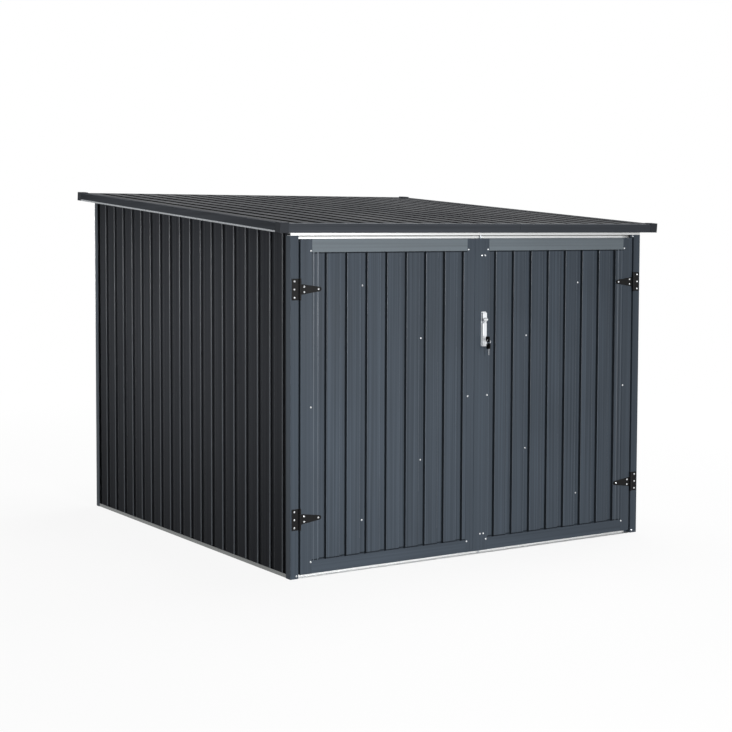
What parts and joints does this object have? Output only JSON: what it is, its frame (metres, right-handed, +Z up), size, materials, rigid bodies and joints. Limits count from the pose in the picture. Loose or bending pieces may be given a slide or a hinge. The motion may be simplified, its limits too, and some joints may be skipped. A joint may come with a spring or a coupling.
{
  "type": "bicycle locker",
  "caption": "Lockable steel bicycle locker with ribbed walls, a roof that falls to the front, two front doors on strap hinges and a swing handle that draws two rods.",
  "frame": {"origin": "on the ground, in the middle of the four anchor holes of the side base rails, under the middle of the footprint", "axes": "+X to the right as seen from the doors, +Y to the back wall, +Z up; the doors are on the -Y side"},
  "size_m": [1.966, 1.9447, 1.5488],
  "materials": {
    "panel_paint": "smooth satin slate-grey coating on ribbed sheet",
    "door_frame_paint": "satin slate-grey coating on folded sheet",
    "post_paint": "satin near-black coating",
    "trim_paint": "satin slate-grey coating",
    "zinc_coated_steel": "light zinc coating",
    "screw_zinc": "bright zinc plating",
    "hinge_paint": "black coating",
    "handle_silver": "satin silver coating on a casting",
    "bright_steel": "bright wire and sheet",
    "lock_chrome": "polished plating",
    "key_plastic": "black moulding",
    "rod_steel": "zinc plating"
  },
  "bodies": {
    "frame": {"back_post_left": "post_paint", "back_post_right": "post_paint", "base_rail_back": "zinc_coated_steel", "base_rail_left": "zinc_coated_steel", "base_rail_right": "zinc_coated_steel", "frame_screws": "screw_zinc", "front_post_left": "post_paint", "front_post_right": "post_paint", "hinge_leaves": "hinge_paint", "hinge_pins": "hinge_paint", "mid_rail_back": "zinc_coated_steel", "mid_rail_left": "zinc_coated_steel", "mid_rail_right": "zinc_coated_steel", "roof_corner_caps": "trim_paint", "roof_purlins": "zinc_coated_steel", "roof_sheet": "panel_paint", "roof_trim_back": "trim_paint", "roof_trim_front": "trim_paint", "roof_trim_left": "trim_paint", "roof_trim_right": "trim_paint", "threshold": "zinc_coated_steel", "top_rail_back": "zinc_coated_steel", "top_rail_front": "zinc_coated_steel", "top_rail_left": "zinc_coated_steel", "top_rail_right": "zinc_coated_steel", "wall_sheet_back": "panel_paint", "wall_sheet_left": "panel_paint", "wall_sheet_right": "panel_paint"},
    "left_door": {"door_bottom_rail_left": "door_frame_paint", "door_braces_left": "zinc_coated_steel", "door_hinge_stile_left": "door_frame_paint", "door_meeting_stile_left": "door_frame_paint", "door_screws_left": "screw_zinc", "door_sheet_left": "panel_paint", "door_top_rail_left": "door_frame_paint", "hinge_straps_left": "hinge_paint"},
    "right_door": {"door_bottom_rail_right": "door_frame_paint", "door_braces_right": "zinc_coated_steel", "door_hinge_stile_right": "door_frame_paint", "door_meeting_stile_right": "door_frame_paint", "door_screws_right": "screw_zinc", "door_sheet_right": "panel_paint", "door_top_rail_right": "door_frame_paint", "hinge_straps_right": "hinge_paint", "door_cover_strip": "door_frame_paint", "handle_plate": "handle_silver", "handle_nuts": "screw_zinc", "rod_guides": "rod_steel"},
    "handle": {"handle_hub": "handle_silver", "lever_pin": "bright_steel", "rod_cam": "rod_steel"},
    "lever": {"handle_lever": "handle_silver"},
    "key": {"lock_plug": "lock_chrome", "key_blade": "bright_steel", "key_bow": "key_plastic"},
    "ring": {"key_ring": "bright_steel", "spare_key_bow": "key_plastic", "spare_key_blade": "bright_steel"},
    "top_rod": {"rod_top": "rod_steel"},
    "bottom_rod": {"rod_bottom": "rod_steel"}
  },
  "joints": [
    {"name": "right_door_hinge", "type": "hinge", "parent": "frame", "child": "right_door", "pos_m": [0.8735, -0.9271, 0.6835], "axis": [0, 0, 1], "range_deg": [0, 170]},
    {"name": "left_door_hinge", "type": "hinge", "parent": "frame", "child": "left_door", "pos_m": [-0.8735, -0.9271, 0.6835], "axis": [0, 0, 1], "range_deg": [-170, 0]},
    {"name": "handle_turn", "type": "hinge", "parent": "right_door", "child": "handle", "pos_m": [0.028, -0.9269, 1.007], "axis": [0, -1, 0], "range_deg": [0, 90]},
    {"name": "lever_lift", "type": "hinge", "parent": "handle", "child": "lever", "pos_m": [0.028, -0.9369, 0.989], "axis": [-1, 0, 0], "range_deg": [0, 30]},
    {"name": "key_turn", "type": "hinge", "parent": "lever", "child": "key", "pos_m": [0.028, -0.9371, 0.908], "axis": [0, -1, 0], "range_deg": [0, 90]},
    {"name": "ring_swing", "type": "hinge", "parent": "key", "child": "ring", "pos_m": [0.028, -0.9601, 0.90686], "axis": [1, 0, 0], "range_deg": [-15, 15]},
    {"name": "top_rod_slide", "type": "slide", "parent": "right_door", "child": "top_rod", "axis": [0, 0, 1], "range_m": [-0.00901, 0]},
    {"name": "bottom_rod_slide", "type": "slide", "parent": "right_door", "child": "bottom_rod", "axis": [0, 0, 1], "range_m": [0, 0.00901]}
  ],
  "couplings": [
    {"joint": "left_door_hinge", "follows": "right_door_hinge", "ratio": -1},
    {"joint": "top_rod_slide", "follows": "handle_turn", "m_per_rad": -0.0057296},
    {"joint": "bottom_rod_slide", "follows": "handle_turn", "m_per_rad": 0.0057296}
  ]
}
